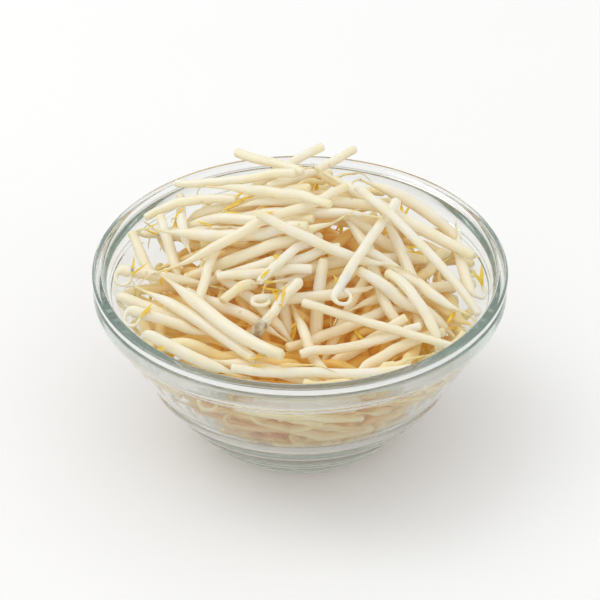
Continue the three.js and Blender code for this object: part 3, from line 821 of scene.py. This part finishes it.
def flat_sprout(length, bend, hook, roll):
    """A sprout's middle line, lying along X, with its head curled if hook isn't nought."""
    steps = ring_count - 1
    curled = hook_rings if hook else 0
    stem_step = (length - hook * hook_radius) / (steps - curled)
    points, heading, up = [Vector((0, 0, 0))], Vector((1, 0, 0)), Vector((0, 0, 1))
    curl_axis = Vector((0, math.sin(roll), math.cos(roll)))
    for k in range(steps):
        if k < steps - curled:
            heading = Matrix.Rotation(bend / steps, 3, up) @ heading
            points.append(points[-1] + heading * stem_step)
        else:
            heading = Matrix.Rotation(hook / hook_rings, 3, curl_axis) @ heading
            points.append(points[-1] + heading * 2 * hook_radius * math.sin(hook / hook_rings / 2))
    line = np.array(points)
    return line - line.mean(axis=0)


def sprout_radii(radius, hooked, cut):
    along = np.linspace(0, 1, ring_count)
    root = np.where(cut, 0.85, 0.2 + 0.8 * smooth_step(0.04, 0.3, along))
    neck = np.where(hooked, 0.56 * smooth_step(0.5, 0.72, along), 0.15 * smooth_step(0.7, 1, along))
    return radius * root * (1 - neck)


def drop_sprouts():
    """Sprouts at random places and angles in the bowl, under the heap's surface."""
    lines, radii = [], []
    floor = foot_recess + base_thickness
    while len(lines) < under_count:
        hooked = lays.uniform() < hooked_share
        shape = flat_sprout(lays.uniform(38, 58) * mm, math.radians(lays.uniform(-70, 70)),
                            math.radians(lays.uniform(200, 290)) if hooked else 0, lays.uniform(-1.2, 1.2))
        heading = Matrix.Rotation(lays.uniform(0, 2 * math.pi), 3, "Z")
        turn = heading @ Matrix.Rotation(lays.normal(0, 0.35), 3, "Y")
        line = shape @ np.array(turn).T
        # The sprouts are as likely to lie at one place in the bowl as at another.
        height = lays.uniform(floor, rim_height + 10 * mm)
        room = inside_radius(height)
        if lays.uniform() > (room / rim_radius) ** 2:
            continue
        angle, out = lays.uniform(0, 2 * math.pi), room * math.sqrt(lays.uniform())
        line = line + np.array([out * math.cos(angle), out * math.sin(angle), height])
        middle = line[ring_count // 2]
        if middle[2] > heap_top(middle[:1], middle[1:2])[0] - least_cover:
            continue
        overhang = np.hypot(line[:, 0], line[:, 1]) - inside_radius(line[:, 2])
        if overhang.max() > most_overhang:
            continue
        lines.append(line)
        radii.append(sprout_radii(lays.uniform(1.75, 2.2) * mm, hooked, lays.uniform() < broken_share))
    return np.array(lines), np.array(radii)


under_lines, under_radii = drop_sprouts()


def near_pairs(points, starts, ends, owner, moving):
    """Pairs of stretches of different sprouts that are close enough to touch, at least one of them free."""
    middles = 0.5 * (points[starts] + points[ends])
    tree = kdtree.KDTree(len(middles))
    for i, middle in enumerate(middles):
        tree.insert(middle, i)
    tree.balance()
    first, second = [], []
    for i in np.flatnonzero(moving):
        for _, j, _ in tree.find_range(middles[i], near_reach):
            if owner[i] != owner[j] and (j > i or not moving[j]):
                first.append(i)
                second.append(j)
    return np.array(first), np.array(second)


def push_apart(points, radii, weight, starts, ends, first, second):
    """Moves stretches that overlap out of each other, each by half, or one by all of it where one is fixed.
    Gives the moved points, and how deep each pair overlapped."""
    a0, a1, b0, b1 = starts[first], ends[first], starts[second], ends[second]
    along_a, along_b = points[a1] - points[a0], points[b1] - points[b0]
    between = points[a0] - points[b0]
    aa, bb, ab = (along_a ** 2).sum(1), (along_b ** 2).sum(1), (along_a * along_b).sum(1)
    ca, cb = (along_a * between).sum(1), (along_b * between).sum(1)
    spread = np.maximum(aa * bb - ab * ab, 1e-16)
    s = np.clip((ab * cb - ca * bb) / spread, 0, 1)
    t = np.clip((ab * s + cb) / bb, 0, 1)
    s = np.clip((ab * t - ca) / aa, 0, 1)
    apart = between + along_a * s[:, None] - along_b * t[:, None]
    distance = np.maximum(np.linalg.norm(apart, axis=1), 1e-6)
    needed = np.maximum(radii[a0], radii[a1]) + np.maximum(radii[b0], radii[b1]) + gap
    deep = np.maximum(needed - distance, 0)
    touching = deep > 0
    shift = apart * (deep / distance)[:, None]
    total = np.maximum(weight[a0] + weight[b0], 1)
    moves = np.zeros_like(points)
    counts = np.zeros(len(points))
    for node, share, sign in ((a0, 1 - s, 1), (a1, s, 1), (b0, 1 - t, -1), (b1, t, -1)):
        step = shift * (sign * share * weight[node] / total)[:, None]
        for axis in range(3):
            moves[:, axis] += np.bincount(node[touching], step[touching, axis], len(points))
        counts += np.bincount(node[touching], share[touching], len(points))
    return points + moves / np.maximum(counts, 1)[:, None] * push_factor, deep


def settle(lines, radii, fixed, rounds):
    """Lets the loose sprouts push each other aside, hold their shapes, and stay in the bowl. Gives their lines,
    and how far each is still pressed into the top sprouts, which don't give way."""
    free = len(lines) * ring_count
    points = np.concatenate([lines.reshape(-1, 3)] + [middles for middles, _ in fixed])
    radius = np.concatenate([radii.ravel()] + [ring_radii for _, ring_radii in fixed])
    weight = (np.arange(len(points)) < free).astype(float)
    lengths = [ring_count] * len(lines) + [len(middles) for middles, _ in fixed]
    first_ring = np.cumsum([0] + lengths[:-1])
    starts = np.concatenate([np.arange(start, start + count - 1) for start, count in zip(first_ring, lengths)])
    owner = np.repeat(np.arange(len(lengths)), [count - 1 for count in lengths])
    ends = starts + 1
    moving = starts < free
    reaches = (1, 2, 3, 5, 8, 12, 15)
    rests = {reach: np.linalg.norm(lines[:, reach:] - lines[:, :-reach], axis=2) for reach in reaches}
    for turn in range(rounds):
        if turn % rounds_between_lookups == 0:
            first, second = near_pairs(points, starts, ends, owner, moving)
        points, _ = push_apart(points, radius, weight, starts, ends, first, second)
        loose = points[:free].reshape(lines.shape)
        for reach in reaches:
            apart = loose[:, reach:] - loose[:, :-reach]
            distance = np.linalg.norm(apart, axis=2)
            fix = apart * (hold_share * (distance - rests[reach]) / distance)[..., None]
            loose[:, :-reach] += fix
            loose[:, reach:] -= fix
        kept = keep_inside(loose.reshape(-1, 3), radius[:free] + glass_clearance)
        ceiling = heap_top(kept[:, 0], kept[:, 1]) - radius[:free]
        kept[:, 2] = np.minimum(kept[:, 2], np.maximum(ceiling, foot_recess + base_thickness + radius[:free]))
        points[:free] = kept
    first, second = near_pairs(points, starts, ends, owner, moving)
    _, deep = push_apart(points, radius, weight, starts, ends, first, second)
    squeezed = np.zeros(len(lengths))
    np.maximum.at(squeezed, owner[first], np.where(moving[second], 0, deep))
    return points[:free].reshape(lines.shape), squeezed[:len(lines)]


# A sprout that finds no room between the top ones doesn't lie in the heap.
for rounds in ((160, 60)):
    under_lines, squeezed = settle(under_lines, under_radii, top_chains, rounds)
    roomy = squeezed < squeeze_limit
    under_lines, under_radii = under_lines[roomy], under_radii[roomy]


def under_parts(middles, radii):
    tone = lays.uniform()
    parts = [stem_strand(middles, radii, tone, 2, 1.0)]
    if radii[0] < thin_end:
        parts += root_strands(middles, radii, tone, 0)
    if radii[-1] < thin_end:
        parts += leaf_strands(middles, tone)
    return parts


# Leaf pairs that came off lie about on the heap: where, which way they point, and how long they are, in mm.
shed_leaves = [(-26, 27, -8, 9), (-22, 29, 8, 8), (-35, 22, -10, 8), (-43, 29, 75, 6), (-43, 10, 15, 8),
               (-14, 12, -20, 6), (-8, -5, 80, 8), (-57, 25, 85, 7), (-60, 14, 88, 11), (-47, -2, 75, 7),
               (-25, -33, 48, 6), (-17, -46, -24, 9), (-13, -14, 35, 6), (36, 7, 25, 11), (44, 38, 45, 7),
               (53, 24, 150, 9), (55, 20, 120, 8), (49, -21, 50, 10), (18, -18, -38, 6), (-43, -28, 78, 8),
               (-54, -17, -30, 6), (35, 33, 75, 7), (-6, -20, 100, 8), (-3, -22, 60, 7), (-2, 52, 20, 6),
               (22, 48, 100, 7), (-30, 50, 30, 7), (8, 30, -60, 6)]


def shed_leaf_parts(trees):
    """Each pair is laid on whatever is on top at its place, as two blades that open from one point."""
    made = []
    for x, y, heading, length in shed_leaves:
        for side in (-1, 1):
            angle = math.radians(heading + side * lays.uniform(8, 22))
            reach = length * lays.uniform(0.8, 1.0) * mm * np.linspace(0, 1, 7)
            plan = np.array([x, y]) * mm + reach[:, None] * np.array([math.cos(angle), math.sin(angle)])
            heights = []
            for spot in plan:
                over = Vector((spot[0], spot[1], 2 * rim_height))
                hits = [tree.ray_cast(over, Vector((0, 0, -1)))[0] for tree in trees]
                heights.append(max([hit.z for hit in hits if hit is not None] or [0.5 * rim_height]))
            # A blade is stiff enough to bridge the dips between sprouts, and lies at a slope on what holds it.
            heights = np.array(heights)
            rise = np.clip(heights[-1] - heights[0], -0.4 * reach[-1], 0.4 * reach[-1])
            slope = heights.mean() + rise * np.linspace(-0.5, 0.5, 7)
            slope += np.clip((heights - slope).max(), 0, 2.5 * mm) + 0.3 * mm
            width = np.array([0.3, 0.75, 1.0, 1.0, 0.85, 0.5, 0.12]) * lays.uniform(0.5, 0.75) * mm
            lying = keep_inside(np.column_stack([plan, slope]), 1.0 * mm)
            blade = finer(np.column_stack([lying, width]), 3)
            made.append(strand(blade[:, :3], blade[:, 3], 1.0, 0.5, leaf=1.0))
    return made


# They are kept as four layers, from the bottom of the bowl to its top.
layer_count = 4
surface_trees = [surface_tree(piece) for piece in top_pieces]
layer_order = np.argsort(under_lines[:, :, 2].mean(axis=1))
for layer, chosen in enumerate(np.array_split(layer_order, layer_count)):
    strands = [part for k in chosen for part in under_parts(under_lines[k], under_radii[k])]
    piece = grow_piece(f"under_sprouts_{layer + 1}", strands, shaded_flesh, 10, 0.12 * mm)
    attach(piece, "root")
    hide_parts("sprout_bed")
    surface_trees.append(surface_tree(piece))

leaves = grow_piece("shed_leaves", shed_leaf_parts(surface_trees), shaded_flesh, 10, 0.1 * mm)
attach(leaves, "root")
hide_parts("sprout_bed")
